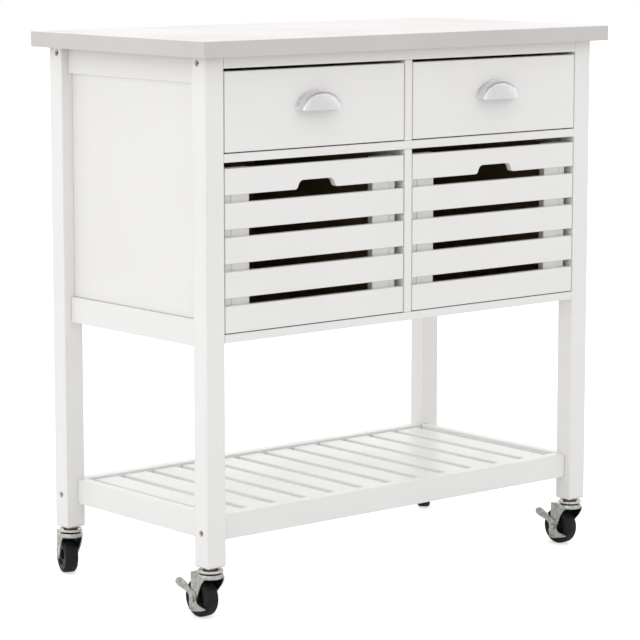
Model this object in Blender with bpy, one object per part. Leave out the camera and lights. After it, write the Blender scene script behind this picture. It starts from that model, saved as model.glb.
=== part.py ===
"""Kitchen island cart on four swivel casters, with two drawers, two slatted crates and a slatted shelf.

Metres, +Z up. X runs along the width, the drawers open towards -Y, and the origin is on the floor
under the middle of the worktop.
"""
import math

import bmesh
import bpy
from mathutils import Matrix, Vector

# Driving dimensions of the cart
CART_WIDTH = 0.850
CART_DEPTH = 0.448
CART_HEIGHT = 0.882
GAP = 0.0003  # play between pieces that touch

# Worktop
TOP_THICKNESS = 0.024
TOP_CORNER = 0.002
TOP_EDGE = 0.0012
END_OVERHANG = 0.020
FRONT_OVERHANG = 0.0225

# Legs and the bolts' blind holes in them
LEG_X = 0.035
LEG_Y = 0.033
LEG_FOOT = 0.0815
LEG_CHAMFER = 0.0022
BOLT_HOLE_RADIUS = 0.005
BOLT_HOLE_DEPTH = 0.010
STEM_HOLE_DEPTH = 0.032

# Frames between the legs
RAIL_HEIGHT = 0.041
RAIL_THICKNESS = 0.018
RAIL_RECESS = 0.0125
PANEL_THICKNESS = 0.008
PANEL_RECESS = 0.020
FLAT_RAIL_HEIGHT = 0.018
FLAT_RAIL_DEPTH = 0.040
LOW_RAIL_BOTTOM = 0.4185
BOARD = 0.013
FLOOR_BOARD_TOP = 0.4392
MIDDLE_BOARD_TOP = 0.7125
DIVIDER = 0.015

# Drawers and crates: their fronts fill the openings beside the divider
FRONT_GAP = 0.0020
DRAWER_FRONT = 0.016
DRAWER_RISE = 0.0018  # under the drawer front
DRAWER_TOP_GAP = 0.0045
DRAWER_WALL = 0.012
DRAWER_SIDE_HEIGHT = 0.090
DRAWER_LENGTH = 0.340
DRAWER_BOTTOM = 0.005
CRATE_RISE = 0.0014
SLAT_HEIGHT = 0.040
BOTTOM_SLAT_EXTRA = 0.0012  # the lowest slat is this much taller, at its lower edge
SLAT_COUNT = 5
SLAT_STEP = 0.0521
SLAT_THICKNESS = 0.012
CRATE_INSET = 0.008  # from a slat's end to the crate's side
CRATE_WALL = 0.012
CRATE_POST = 0.035
CRATE_LENGTH = 0.350
HAND_MOUTH = 0.077
HAND_TOP = 0.066
HAND_HEIGHT = 0.014

# Cup pulls
PULL_HALF = 0.041
PULL_HEIGHT = 0.027
PULL_DEPTH = 0.024
PULL_SQUARENESS = 2.8  # 2 would be an ellipsoid
PULL_WALL = 0.002
PULL_FLANGE = 0.0035
PULL_FLANGE_THICKNESS = 0.0015
PULL_DROP = 0.0640  # from the drawer front's top edge to the pull's mouth

# Lower shelf
SHELF_TOP = 0.160
SHELF_RAIL_HEIGHT = 0.0395
SHELF_END_RECESS = 0.0206
SHELF_SLATS = 12
SHELF_SLAT_WIDTH = 0.045
SHELF_SLAT_THICKNESS = 0.010
SHELF_SLAT_DROP = 0.0035
BATTEN_WIDTH = 0.022
BATTEN_HEIGHT = 0.014
BATTEN_Y = 0.105

# Casters
WHEEL_RADIUS = 0.0298
WHEEL_WIDTH = 0.0225
WHEEL_SEGMENTS = 32
CASTER_TRAIL = 0.0215
AXLE_RADIUS = 0.003
CUP_RADIUS = 0.0197
CUP_TOP = 0.0778
CUP_BOTTOM = 0.0734
CROWN_TOP = 0.0715
CROWN_THICKNESS = 0.0025
SKIRT_BOTTOM = 0.0645
SHEET = 0.002
CHEEK_OUTSIDE = 0.0155
STEM_RADIUS = 0.005
NUT_RADIUS = 0.0052
LEVER_SHEET = 0.0018

# How far each caster has swivelled from pointing its wheel to the back, seen from above
CASTER_TURNS = {
    "front_left": 0.0,
    "front_right": 0.0,
    "back_left": math.radians(-19.0),
    "back_right": math.radians(-44.0),
}

# Places that follow from the sizes above
TOP_BOTTOM = CART_HEIGHT - TOP_THICKNESS
FRAME_X = CART_WIDTH / 2 - END_OVERHANG
FRAME_Y = CART_DEPTH / 2 - FRONT_OVERHANG
LEG_INNER_X = FRAME_X - LEG_X
LEG_INNER_Y = FRAME_Y - LEG_Y
LEG_CENTRE_X = FRAME_X - LEG_X / 2
LEG_CENTRE_Y = FRAME_Y - LEG_Y / 2
FRAME_TOP = TOP_BOTTOM - GAP
LOW_RAIL_TOP = LOW_RAIL_BOTTOM + RAIL_HEIGHT
UP_RAIL_BOTTOM = TOP_BOTTOM - RAIL_HEIGHT
FLAT_RAIL_BOTTOM = TOP_BOTTOM - FLAT_RAIL_HEIGHT
BACK_PANEL_Y = FRAME_Y - PANEL_RECESS - PANEL_THICKNESS
OPENING_CENTRE = (LEG_INNER_X + DIVIDER / 2) / 2
FRONT_WIDTH = LEG_INNER_X - DIVIDER / 2 - 2 * FRONT_GAP
WHEEL_AXLE_Z = WHEEL_RADIUS


def clear_scene():
    for thing in list(bpy.data.objects):
        bpy.data.objects.remove(thing, do_unlink=True)


def make_material(name, colour, roughness, metallic=0.0):
    material = bpy.data.materials.new(name)
    material.use_nodes = True
    shader = material.node_tree.nodes["Principled BSDF"]
    shader.inputs["Base Color"].default_value = (*colour, 1.0)
    shader.inputs["Roughness"].default_value = roughness
    shader.inputs["Metallic"].default_value = metallic
    material.diffuse_color = (*colour, 1.0)
    return material


def place(name, bm, material, location=(0, 0, 0), turn=0.0):
    """Turns a bmesh into an object of its own."""
    bmesh.ops.recalc_face_normals(bm, faces=bm.faces)
    mesh = bpy.data.meshes.new(name)
    bm.to_mesh(mesh)
    bm.free()
    return place_mesh(name, mesh, material, location, turn)


def place_mesh(name, mesh, material, location, turn):
    thing = bpy.data.objects.new(name, mesh)
    bpy.context.scene.collection.objects.link(thing)
    if not mesh.materials:
        mesh.materials.append(material)
    thing.location = location
    thing.rotation_euler = (0.0, 0.0, turn)
    return thing


def ease_edges(thing, width, segments=1):
    bevel = thing.modifiers.new("eased edges", "BEVEL")
    bevel.width = width
    bevel.segments = segments
    bevel.limit_method = "ANGLE"
    bevel.angle_limit = math.radians(40)
    return bevel


def add_box(bm, low, high):
    size = Vector(high) - Vector(low)
    centre = (Vector(high) + Vector(low)) / 2
    matrix = Matrix.Translation(centre) @ Matrix.Diagonal((*size, 1.0))
    return bmesh.ops.create_cube(bm, size=1.0, matrix=matrix)


def add_prism(bm, outline, axis, start, end):
    """Extrudes an outline along X, Y or Z. The outline's points are on the other two axes."""
    def corner(point, along):
        coordinates = list(point)
        coordinates.insert("XYZ".index(axis), along)
        return coordinates

    face = bm.faces.new([bm.verts.new(corner(point, start)) for point in outline])
    grown = bmesh.ops.extrude_face_region(bm, geom=[face])
    moved = [item for item in grown["geom"] if isinstance(item, bmesh.types.BMVert)]
    shift = Vector(corner((0.0, 0.0), end - start))
    bmesh.ops.translate(bm, verts=moved, vec=shift)


def board(name, low, high, material, ease=0.0012, segments=1):
    bm = bmesh.new()
    add_box(bm, low, high)
    thing = place(name, bm, material)
    ease_edges(thing, ease, segments)
    return thing


def prism(name, outline, axis, start, end, material, ease=0.0010):
    bm = bmesh.new()
    add_prism(bm, outline, axis, start, end)
    thing = place(name, bm, material)
    if ease:
        ease_edges(thing, ease)
    return thing


def grid_solid(cuts_x, cuts_y, cuts_z, filled):
    """A closed body made of the grid cells for which filled(i, j, k) is true."""
    bm = bmesh.new()
    verts = {}

    def corner(i, j, k):
        if (i, j, k) not in verts:
            verts[i, j, k] = bm.verts.new((cuts_x[i], cuts_y[j], cuts_z[k]))
        return verts[i, j, k]

    counts = (len(cuts_x) - 1, len(cuts_y) - 1, len(cuts_z) - 1)

    def solid(cell):
        return all(0 <= c < n for c, n in zip(cell, counts)) and filled(*cell)

    for i in range(counts[0]):
        for j in range(counts[1]):
            for k in range(counts[2]):
                if not solid((i, j, k)):
                    continue
                for axis in range(3):
                    for side in (0, 1):
                        neighbour = [i, j, k]
                        neighbour[axis] += 1 if side else -1
                        if solid(neighbour):
                            continue
                        others = [a for a in range(3) if a != axis]
                        ring = []
                        for a, b in ((0, 0), (1, 0), (1, 1), (0, 1)):
                            at = [i, j, k]
                            at[axis] += side
                            at[others[0]] += a
                            at[others[1]] += b
                            ring.append(corner(*at))
                        bm.faces.new(ring)
    bmesh.ops.recalc_face_normals(bm, faces=bm.faces)
    bmesh.ops.dissolve_limit(bm, angle_limit=0.01, verts=bm.verts, edges=bm.edges)
    return bm


def turned(profile, segments, centre=(0, 0, 0), axis="Z", phase=0.5):
    """A closed lathe body. The profile is a loop of (radius, height) points.

    Each ring's flats touch its radius.
    """
    bm = bmesh.new()
    grow = 1.0 / math.cos(math.pi / segments)
    rings = []
    for radius, height in profile:
        ring = []
        for step in range(segments if radius > 0 else 1):
            angle = 2 * math.pi * (step + phase) / segments
            a, b = radius * grow * math.cos(angle), radius * grow * math.sin(angle)
            point = (a, b, height) if axis == "Z" else (height, a, b)
            ring.append(bm.verts.new(Vector(centre) + Vector(point)))
        rings.append(ring)
    closed = all(len(ring) > 1 for ring in rings)
    pairs = list(zip(rings, rings[1:] + rings[:1])) if closed else list(zip(rings, rings[1:]))
    for low, high in pairs:
        for step in range(segments):
            after = (step + 1) % segments
            loop = [low[n % len(low)] for n in (step, after)]
            loop += [high[n % len(high)] for n in (after, step)]
            corners = [v for n, v in enumerate(loop) if v not in loop[:n]]
            bm.faces.new(corners)
    return bm


def combine(name, target, others, mode="UNION"):
    """Adds or cuts other solids, each a helper object that isn't part of the cart."""
    for number, other in enumerate(others):
        cutter = place(f"{name}_{mode.lower()}_{number}_{len(target.modifiers)}", other, None)
        cutter.hide_render = True
        cutter.display_type = "WIRE"
        change = target.modifiers.new(cutter.name, "BOOLEAN")
        change.operation = mode
        change.solver = "EXACT"
        change.object = cutter
        cutter.location = target.location
        cutter.rotation_euler = target.rotation_euler


# Finishes
clear_scene()
WHITE_PAINT = make_material("white_paint", (0.84, 0.83, 0.80), 0.42)
INNER_WOOD = make_material("pale_wood", (0.62, 0.50, 0.36), 0.60)
STEEL_TOP = make_material("worktop_steel", (0.60, 0.58, 0.56), 0.35, 0.6)
SATIN_NICKEL = make_material("satin_nickel", (0.62, 0.62, 0.61), 0.30, 1.0)
ZINC = make_material("zinc_plate", (0.58, 0.58, 0.54), 0.38, 1.0)
RUBBER = make_material("black_rubber", (0.015, 0.015, 0.016), 0.55)


def make_worktop():
    bm = bmesh.new()
    add_box(
        bm,
        (-CART_WIDTH / 2, -CART_DEPTH / 2, TOP_BOTTOM),
        (CART_WIDTH / 2, CART_DEPTH / 2, CART_HEIGHT),
    )
    upright = [edge for edge in bm.edges if abs(edge.verts[0].co.z - edge.verts[1].co.z) > TOP_EDGE]
    bmesh.ops.bevel(bm, geom=upright, offset=TOP_CORNER, segments=4, profile=0.5, affect="EDGES")
    thing = place("worktop", bm, STEEL_TOP)
    ease_edges(thing, TOP_EDGE, 2)


def make_legs():
    upper_bolt_z = TOP_BOTTOM - FLAT_RAIL_HEIGHT / 2
    upper_bolt_y = FRAME_Y - FLAT_RAIL_DEPTH / 2 - GAP
    lower_bolt_z = SHELF_TOP - SHELF_RAIL_HEIGHT * 0.62
    for side, sx in (("left", -1), ("right", 1)):
        for end, sy in (("front", -1), ("back", 1)):
            low = (-LEG_X / 2, -LEG_Y / 2, LEG_FOOT)
            high = (LEG_X / 2, LEG_Y / 2, FRAME_TOP)
            bm = bmesh.new()
            add_box(bm, low, high)
            foot = [edge for edge in bm.edges if all(v.co.z < LEG_FOOT + GAP for v in edge.verts)]
            bmesh.ops.bevel(bm, geom=foot, offset=LEG_CHAMFER, segments=1, affect="EDGES")
            uprights = [e for e in bm.edges if abs(e.verts[0].co.z - e.verts[1].co.z) > LEG_X]
            bmesh.ops.bevel(bm, geom=uprights, offset=0.0018, segments=2, profile=0.5, affect="EDGES")
            leg = place(f"leg_{end}_{side}", bm, WHITE_PAINT, (sx * LEG_CENTRE_X, sy * LEG_CENTRE_Y, 0))
            holes = []
            for across, height in ((sy * upper_bolt_y - leg.location.y, upper_bolt_z), (0.0, lower_bolt_z)):
                near = sx * (LEG_X / 2 - BOLT_HOLE_DEPTH)
                far = sx * (LEG_X / 2 + BOLT_HOLE_DEPTH)
                ring = [(0.0, near), (BOLT_HOLE_RADIUS, near), (BOLT_HOLE_RADIUS, far), (0.0, far)]
                holes.append(turned(ring, 16, (0.0, across, height), "X"))
            bottom = LEG_FOOT - 0.005
            bore = STEM_RADIUS + GAP
            roof = LEG_FOOT + STEM_HOLE_DEPTH
            ring = [(0.0, bottom), (bore, bottom), (bore, roof), (0.0, roof)]
            holes.append(turned(ring, 12))
            combine(leg.name, leg, holes, "DIFFERENCE")


def make_side_frames():
    y = LEG_INNER_Y - GAP
    for side, sx in (("left", -1), ("right", 1)):
        def slab(name, recess, thickness, bottom, top, ease):
            outer, inner = FRAME_X - recess, FRAME_X - recess - thickness
            x = sorted((sx * outer, sx * inner))
            board(f"{name}_{side}", (x[0], -y, bottom), (x[1], y, top), WHITE_PAINT, ease)

        slab("side_rail_upper", RAIL_RECESS, RAIL_THICKNESS, UP_RAIL_BOTTOM, FRAME_TOP, 0.0015)
        slab("side_rail_lower", RAIL_RECESS, RAIL_THICKNESS, LOW_RAIL_BOTTOM, LOW_RAIL_TOP, 0.0015)
        slab("side_panel", PANEL_RECESS, PANEL_THICKNESS, LOW_RAIL_TOP + GAP, UP_RAIL_BOTTOM - GAP, 0.0005)


def make_back_frame():
    x = LEG_INNER_X - GAP
    rail_y = FRAME_Y - RAIL_RECESS
    board(
        "back_rail_upper",
        (-x, FRAME_Y - FLAT_RAIL_DEPTH, FLAT_RAIL_BOTTOM),
        (x, FRAME_Y, FRAME_TOP),
        WHITE_PAINT,
    )
    board(
        "back_rail_lower",
        (-x, rail_y - RAIL_THICKNESS, LOW_RAIL_BOTTOM),
        (x, rail_y, LOW_RAIL_TOP),
        WHITE_PAINT,
        0.0015,
    )
    board(
        "back_panel",
        (-x, BACK_PANEL_Y, LOW_RAIL_TOP + GAP),
        (x, BACK_PANEL_Y + PANEL_THICKNESS, FLAT_RAIL_BOTTOM - GAP),
        WHITE_PAINT,
        0.0005,
    )


def notched_board(name, top, thickness, reach, back, material):
    """A board that runs between the legs, and out to the side frames in the middle of its depth."""
    x = LEG_INNER_X - GAP
    y = LEG_INNER_Y - GAP
    front = -FRAME_Y
    outline = [(-x, front), (x, front), (x, -y), (reach, -y), (reach, y), (x, y)]
    if back > y:
        outline += [(x, back), (-x, back)]
    outline += [(-x, y), (-reach, y), (-reach, -y), (-x, -y)]
    prism(name, outline, "Z", top - thickness, top, material)


def make_boards():
    board(
        "front_rail",
        (-LEG_INNER_X + GAP, -FRAME_Y, FLAT_RAIL_BOTTOM),
        (LEG_INNER_X - GAP, -FRAME_Y + FLAT_RAIL_DEPTH, FRAME_TOP),
        WHITE_PAINT,
    )
    panel_inside = FRAME_X - PANEL_RECESS - PANEL_THICKNESS - GAP
    rail_inside = FRAME_X - RAIL_RECESS - RAIL_THICKNESS - GAP
    low_rail_front = FRAME_Y - RAIL_RECESS - RAIL_THICKNESS - GAP
    notched_board("middle_board", MIDDLE_BOARD_TOP, BOARD, panel_inside, BACK_PANEL_Y - GAP, WHITE_PAINT)
    notched_board("floor_board", FLOOR_BOARD_TOP, BOARD, rail_inside, low_rail_front, WHITE_PAINT)
    front, back = -FRAME_Y, BACK_PANEL_Y - GAP
    low, step, top = MIDDLE_BOARD_TOP + GAP, FLAT_RAIL_BOTTOM - GAP, FRAME_TOP
    notch_front = -FRAME_Y + FLAT_RAIL_DEPTH + GAP
    notch_back = FRAME_Y - FLAT_RAIL_DEPTH - GAP
    outline = [
        (front, low), (back, low), (back, step), (notch_back, step),
        (notch_back, top), (notch_front, top), (notch_front, step), (front, step),
    ]
    prism("divider_upper", outline, "X", -DIVIDER / 2, DIVIDER / 2, WHITE_PAINT)
    board(
        "divider_lower",
        (-DIVIDER / 2, front, FLOOR_BOARD_TOP + GAP),
        (DIVIDER / 2, min(back, low_rail_front), MIDDLE_BOARD_TOP - BOARD - GAP),
        WHITE_PAINT,
        0.0010,
    )


def cup_pull_body():
    """A quarter of a squared ellipsoid's shell, open below, with a flange round its arc.

    Its back is on y = 0.
    """
    across, out = 14, 5
    bm = bmesh.new()
    outside, inside = [], []
    for step in range(across + 1):
        u = math.pi * step / across
        c, s = math.cos(u), math.sin(u)

        def on(half, height, depth, v):
            across_v = max(math.cos(v), 0.0) ** (2 / PULL_SQUARENESS)
            out_v = math.sin(v) ** (2 / PULL_SQUARENESS)
            return bm.verts.new((half * c * across_v, -depth * out_v, height * s * across_v))

        rim_x, rim_z = (PULL_HALF + PULL_FLANGE) * c, (PULL_HEIGHT + PULL_FLANGE) * s
        flange_back = bm.verts.new((rim_x, 0.0, rim_z))
        flange_front = bm.verts.new((rim_x, -PULL_FLANGE_THICKNESS, rim_z))
        start = math.asin((PULL_FLANGE_THICKNESS / PULL_DEPTH) ** (PULL_SQUARENESS / 2))
        span = math.pi / 2 - start
        outer = [on(PULL_HALF, PULL_HEIGHT, PULL_DEPTH, start + span * n / out) for n in range(out)]
        thin = PULL_WALL
        inner = [
            on(PULL_HALF - thin, PULL_HEIGHT - thin, PULL_DEPTH - thin, math.pi / 2 * n / out)
            for n in range(out)
        ]
        outside.append([flange_back, flange_front, *outer])
        inside.append(inner)
    tip = bm.verts.new((0.0, -PULL_DEPTH, 0.0))
    inner_tip = bm.verts.new((0.0, -(PULL_DEPTH - PULL_WALL), 0.0))
    for here, there, inner_here, inner_there in zip(outside, outside[1:], inside, inside[1:]):
        for a, b, c, d in zip(here, here[1:], there[1:], there):
            bm.faces.new((a, b, c, d))
        bm.faces.new((here[-1], tip, there[-1]))
        for a, b, c, d in zip(inner_here, inner_here[1:], inner_there[1:], inner_there):
            bm.faces.new((a, b, c, d))
        bm.faces.new((inner_here[-1], inner_tip, inner_there[-1]))
        bm.faces.new((here[0], inner_here[0], inner_there[0], there[0]))
    for outer, inner in ((outside[0], inside[0]), (outside[-1], inside[-1])):
        bm.faces.new((outer[0], outer[1], outer[2], inner[0]))
        for a, b, c, d in zip(outer[2:], outer[3:], inner[1:], inner):
            bm.faces.new((a, b, c, d))
        bm.faces.new((outer[-1], tip, inner_tip, inner[-1]))
    return bm


def make_drawer(side, sx):
    """A drawer: thick front, two sides, back and a thin bottom that sits between them."""
    centre = sx * OPENING_CENTRE
    half = FRONT_WIDTH / 2
    front_y = -FRAME_Y
    back_of_front = front_y + DRAWER_FRONT
    low = MIDDLE_BOARD_TOP + DRAWER_RISE
    high = FLAT_RAIL_BOTTOM - DRAWER_TOP_GAP
    board(
        f"drawer_front_{side}",
        (centre - half, front_y, low),
        (centre + half, back_of_front, high),
        WHITE_PAINT,
        0.0012,
        2,
    )
    start = back_of_front + GAP
    stop = start + DRAWER_LENGTH
    base = MIDDLE_BOARD_TOP + 2 * GAP
    rim = base + DRAWER_SIDE_HEIGHT
    for name, sign in (("left", -1), ("right", 1)):
        x = sorted((centre + sign * half, centre + sign * (half - DRAWER_WALL)))
        board(f"drawer_{side}_wall_{name}", (x[0], start, base), (x[1], stop, rim), INNER_WOOD, 0.0008)
    inside = half - DRAWER_WALL - GAP
    tray = base + 0.004
    board(
        f"drawer_{side}_bottom",
        (centre - inside, start, tray),
        (centre + inside, stop, tray + DRAWER_BOTTOM),
        INNER_WOOD,
        0.0004,
    )
    board(
        f"drawer_{side}_back",
        (centre - inside, stop - DRAWER_WALL, tray + DRAWER_BOTTOM + GAP),
        (centre + inside, stop, rim - 0.004),
        INNER_WOOD,
        0.0008,
    )
    mouth = (centre, front_y - GAP, high - PULL_DROP)
    pull = place(f"cup_pull_{side}", cup_pull_body(), SATIN_NICKEL, mouth)
    pull.data.shade_smooth()


def make_crate(side, sx):
    """A slatted crate: five front slats on two corner posts, plain sides, back and floor."""
    centre = sx * OPENING_CENTRE
    half = FRONT_WIDTH / 2
    front_y = -FRAME_Y
    low = FLOOR_BOARD_TOP + CRATE_RISE
    post_out = half - CRATE_INSET - CRATE_WALL - GAP
    post_in = post_out - CRATE_POST + GAP
    cuts_x = [centre + x for x in (-half, -post_out, -post_in, post_in, post_out, half)]
    back_of_slats = front_y + SLAT_THICKNESS
    cuts_y = [front_y, back_of_slats, back_of_slats + CRATE_WALL]
    cuts_z = []
    for number in range(SLAT_COUNT):
        slat_bottom = low + BOTTOM_SLAT_EXTRA + number * SLAT_STEP
        cuts_z += [slat_bottom, slat_bottom + SLAT_HEIGHT]
    cuts_z[0] = low

    def filled(i, j, k):
        return k % 2 == 0 if j == 0 else i in (1, 3)

    front = place(f"crate_{side}_front", grid_solid(cuts_x, cuts_y, cuts_z, filled), WHITE_PAINT)
    hand = bmesh.new()
    hand_top = slat_bottom + HAND_HEIGHT
    below = 0.004
    slope = (HAND_MOUTH - HAND_TOP) / 2 / HAND_HEIGHT
    wide = HAND_MOUTH / 2 + slope * below
    outline = [
        (centre - wide, slat_bottom - below), (centre + wide, slat_bottom - below),
        (centre + HAND_TOP / 2, hand_top), (centre - HAND_TOP / 2, hand_top),
    ]
    add_prism(hand, outline, "Y", front_y - below, back_of_slats + below)
    combine(front.name, front, [hand], "DIFFERENCE")
    ease_edges(front, 0.0010)

    side_out = half - CRATE_INSET
    side_in = side_out - CRATE_WALL
    start = back_of_slats + GAP
    stop = start + CRATE_LENGTH
    top = cuts_z[-1]
    base = FLOOR_BOARD_TOP + 2 * GAP
    for name, sign in (("left", -1), ("right", 1)):
        x = sorted((centre + sign * side_out, centre + sign * side_in))
        board(f"crate_{side}_wall_{name}", (x[0], start, base), (x[1], stop, top), WHITE_PAINT, 0.0008)
    inside = side_in - GAP
    board(
        f"crate_{side}_floor",
        (centre - inside, back_of_slats + CRATE_WALL + GAP, low),
        (centre + inside, stop - CRATE_WALL - GAP, low + 0.006),
        INNER_WOOD,
        0.0004,
    )
    board(
        f"crate_{side}_back",
        (centre - inside, stop - CRATE_WALL, low),
        (centre + inside, stop, top),
        INNER_WOOD,
        0.0008,
    )


def make_shelf():
    bottom = SHELF_TOP - SHELF_RAIL_HEIGHT
    x = LEG_INNER_X - GAP
    outer_y = FRAME_Y - RAIL_RECESS + 0.0005
    inner_y = outer_y - 0.020
    board("shelf_rail_front", (-x, -outer_y, bottom), (x, -inner_y, SHELF_TOP), WHITE_PAINT, 0.0012, 2)
    board("shelf_rail_back", (-x, inner_y, bottom), (x, outer_y, SHELF_TOP), WHITE_PAINT, 0.0012, 2)
    outer_x = FRAME_X - SHELF_END_RECESS
    inner_x = outer_x - RAIL_THICKNESS
    y = LEG_INNER_Y - GAP
    for side, low_x, high_x in (("left", -outer_x, -inner_x), ("right", inner_x, outer_x)):
        board(f"shelf_rail_{side}", (low_x, -y, bottom), (high_x, y, SHELF_TOP), WHITE_PAINT, 0.0012, 2)

    span = 2 * (inner_x - GAP)
    slit = (span - SHELF_SLATS * SHELF_SLAT_WIDTH) / (SHELF_SLATS + 1)
    cuts_x = [-span / 2]
    for number in range(SHELF_SLATS):
        start = -span / 2 + slit + number * (SHELF_SLAT_WIDTH + slit)
        cuts_x += [start, start + SHELF_SLAT_WIDTH]
    cuts_x.append(span / 2)
    reach = min(inner_y, y) - GAP
    cuts_y = [-reach, -BATTEN_Y - BATTEN_WIDTH / 2, -BATTEN_Y + BATTEN_WIDTH / 2]
    cuts_y += [-cut for cut in reversed(cuts_y)]
    top = SHELF_TOP - SHELF_SLAT_DROP
    under = top - SHELF_SLAT_THICKNESS
    cuts_z = [under - BATTEN_HEIGHT, under, top]

    def filled(i, j, k):
        return i % 2 == 1 if k == 1 else j in (1, 3)

    place("shelf_slats", grid_solid(cuts_x, cuts_y, cuts_z, filled), WHITE_PAINT)


def stem_body():
    """The fixed half of a caster: threaded stem, collar, upper cup, and the king pin that holds the fork."""
    lip, pin, head, collar = 0.0008, 0.0040, 0.0070, 0.0120
    race = CUP_RADIUS - 0.003
    head_top = CROWN_TOP - CROWN_THICKNESS - 2 * GAP
    stem_top = LEG_FOOT + STEM_HOLE_DEPTH - 0.003
    profile = [
        (0.0, SKIRT_BOTTOM + lip), (head, SKIRT_BOTTOM + lip), (head, head_top), (pin, head_top),
        (pin, CROWN_TOP + GAP), (race, CROWN_TOP + GAP), (race, CUP_BOTTOM), (CUP_RADIUS - lip, CUP_BOTTOM),
        (CUP_RADIUS, CUP_BOTTOM + lip), (CUP_RADIUS, CUP_TOP - lip), (CUP_RADIUS - lip, CUP_TOP),
        (collar, CUP_TOP), (collar, LEG_FOOT - GAP), (STEM_RADIUS, LEG_FOOT - GAP), (STEM_RADIUS, stem_top),
        (0.0, stem_top),
    ]
    return turned(profile, 20)


def fork_parts(nut_side):
    """The swivelling fork: a round crown with a skirt, a back plate, two cheeks and the axle.

    The right cheek reaches further forward and guards the wheel.
    """
    bore = 0.0044
    top, under = CROWN_TOP, CROWN_TOP - CROWN_THICKNESS
    ring = [
        (bore, under), (CUP_RADIUS - SHEET, under), (CUP_RADIUS - SHEET, SKIRT_BOTTOM),
        (CUP_RADIUS, SKIRT_BOTTOM), (CUP_RADIUS, top - 0.0012), (CUP_RADIUS - 0.0012, top), (bore, top),
    ]
    crown = turned(ring, 24)
    back = 0.0290
    bow = bmesh.new()
    bow_side = CHEEK_OUTSIDE - 0.0004
    add_box(bow, (-bow_side, 0.0100, under + 0.0003), (bow_side, back - 0.0004, top - 0.0003))
    others = [bow]
    axle_y, axle_z, boss = CASTER_TRAIL, WHEEL_AXLE_Z, 0.0065
    low_arc = [
        (axle_y + boss * math.sin(a), axle_z - boss * math.cos(a))
        for a in [math.radians(d) for d in (-75, -40, 0, 40, 75)]
    ]
    narrow = [
        (-0.0120, top - 0.0010), (-0.0120, SKIRT_BOTTOM), (-0.0070, 0.0614), (0.0005, 0.0545),
        (0.0060, 0.0478), (0.0105, 0.0415), *low_arc, (back, 0.0450), (back, top - 0.0010),
    ]
    wide = [
        (-0.0115, top - 0.0010), (-0.0155, SKIRT_BOTTOM), (-0.0128, 0.0568), (-0.0080, 0.0500),
        (-0.0020, 0.0430), (0.0060, 0.0350), *low_arc, (back, 0.0450), (back, top - 0.0010),
    ]
    for sign, cheek in ((-1, narrow), (1, wide)):
        start = sign * CHEEK_OUTSIDE
        plate = bmesh.new()
        add_prism(plate, cheek, "X", start, start - sign * SHEET)
        others.append(plate)
    head_thickness, sunk = 0.0015, 0.0005
    if nut_side:
        far = CHEEK_OUTSIDE + LEVER_SHEET + 0.0048
        near = far - 0.0030
    else:
        far = CHEEK_OUTSIDE + 0.0030
        near = CHEEK_OUTSIDE - sunk
    right, right_far = CHEEK_OUTSIDE - sunk, CHEEK_OUTSIDE + 2 * head_thickness
    pin = [
        (0.0, -far), (NUT_RADIUS, -far), (NUT_RADIUS, -near), (AXLE_RADIUS, -near),
        (AXLE_RADIUS, right), (NUT_RADIUS, right), (NUT_RADIUS, right_far), (0.0, right_far),
    ]
    others.append(turned(pin, 12, (0.0, axle_y, axle_z), "X"))
    return crown, others


def wheel_body():
    """A solid wheel with rounded tread edges and a recessed web, turned about X."""
    half = WHEEL_WIDTH / 2
    bore = AXLE_RADIUS + 0.0004
    r = WHEEL_RADIUS
    side = [
        (bore, half + 0.0012), (0.0080, half + 0.0012), (0.0090, half - 0.0020),
        (r - 0.0095, half - 0.0022), (r - 0.0080, half), (r - 0.0040, half),
        (r - 0.0012, half - 0.0015), (r, half - 0.0045),
    ]
    profile = side + [(radius, -across) for radius, across in reversed(side)]
    return turned(profile, WHEEL_SEGMENTS, axis="X")


def lever_body():
    """The brake lever: a stamped plate on the axle with a tread pad at the back and a foot at the front."""
    y, z = CASTER_TRAIL, WHEEL_AXLE_Z
    outline = [
        (0.0310, 0.0460), (0.0450, 0.0565), (0.0530, 0.0585), (0.0590, 0.0560), (0.0605, 0.0510),
        (0.0570, 0.0460), (0.0410, 0.0400), (0.0320, 0.0335), (0.0320, 0.0180), (0.0270, 0.0125),
        (0.0180, 0.0110), (-0.0060, 0.0160), (-0.0075, 0.0185), (0.0040, 0.0205), (0.0120, 0.0240),
        (0.0140, 0.0330), (0.0200, 0.0420),
    ]
    outside = -CHEEK_OUTSIDE - GAP
    bm = bmesh.new()
    add_prism(bm, [(a - y, b - z) for a, b in outline], "X", outside, outside - LEVER_SHEET)
    return bm


def make_casters():
    shared = {}
    for corner, turn in CASTER_TURNS.items():
        end, side = corner.split("_")
        x = LEG_CENTRE_X * (-1 if side == "left" else 1)
        y = LEG_CENTRE_Y * (-1 if end == "front" else 1)
        braked = end == "front"
        place(f"caster_stem_{corner}", stem_body(), ZINC, (x, y, 0.0)).data.shade_smooth()
        crown, others = fork_parts(braked)
        fork = place(f"caster_fork_{corner}", crown, ZINC, (x, y, 0.0), turn)
        combine(fork.name, fork, others)
        away = Matrix.Rotation(turn, 3, "Z") @ Vector((0.0, CASTER_TRAIL, WHEEL_AXLE_Z))
        at = Vector((x, y, 0.0)) + away
        if "wheel" not in shared:
            first = place(f"caster_wheel_{corner}", wheel_body(), RUBBER, at, turn)
            shared["wheel"] = first.data
        else:
            place_mesh(f"caster_wheel_{corner}", shared["wheel"], RUBBER, at, turn)
        if braked:
            lever = place(f"brake_lever_{side}", lever_body(), ZINC, at, turn)
            bore = AXLE_RADIUS + 0.0003
            hole = [(0.0, -0.03), (bore, -0.03), (bore, 0.0), (0.0, 0.0)]
            combine(lever.name, lever, [turned(hole, 12, axis="X")], "DIFFERENCE")
            ease_edges(lever, 0.0004)


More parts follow.
